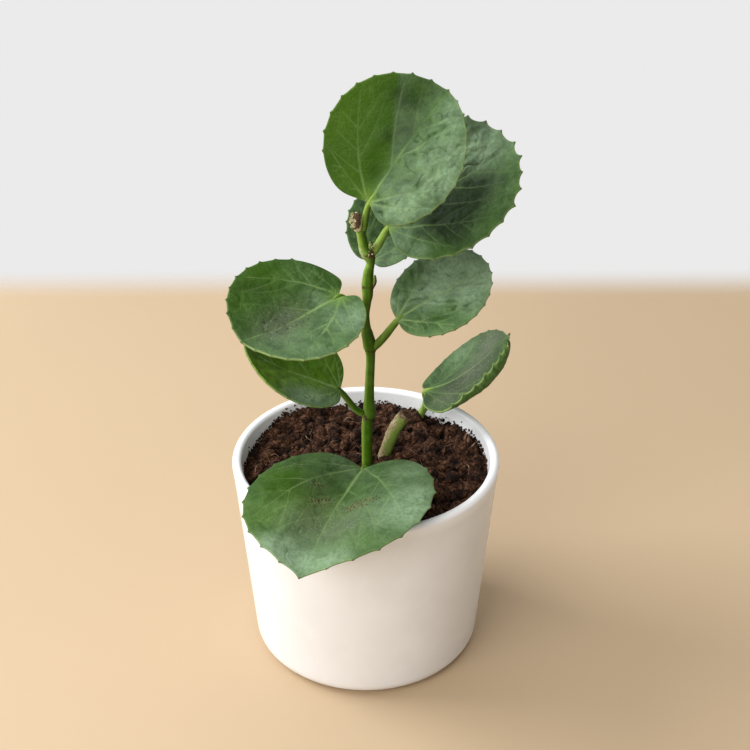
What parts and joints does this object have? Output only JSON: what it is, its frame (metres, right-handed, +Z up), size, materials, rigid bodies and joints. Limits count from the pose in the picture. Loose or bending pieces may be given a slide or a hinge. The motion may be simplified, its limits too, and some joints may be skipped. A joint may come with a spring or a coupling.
{
  "type": "potted cissus",
  "caption": "Young climbing vine with round, fleshy, toothed leaves on an upright jointed stem, in soil in a plain white tapered ceramic pot.",
  "frame": {"origin": "centre of the flat underside of the pot", "axes": "+Z up along the pot's axis; -Y towards the front, where the lowest and largest leaf hangs over the rim"},
  "size_m": [0.1286, 0.1518, 0.2703],
  "materials": {
    "glazed_pot": "satin white glaze",
    "soil": "rough damp coir",
    "green_stem": "smooth satin skin",
    "bark": "dry matte bark",
    "dried_tissue": "dry matte",
    "leaf": "waxy satin with a pale bloom"
  },
  "bodies": {
    "root": {"pot": "glazed_pot", "soil": "soil", "stem": "green_stem", "stump": "bark", "dried_tip": "dried_tissue", "leaf_top": "leaf", "leaf_upper_right": "leaf", "leaf_back": "leaf", "leaf_middle_left": "leaf", "leaf_middle_right": "leaf", "leaf_lower_left": "leaf", "leaf_lower_right": "leaf", "leaf_front": "leaf"}
  },
  "joints": []
}
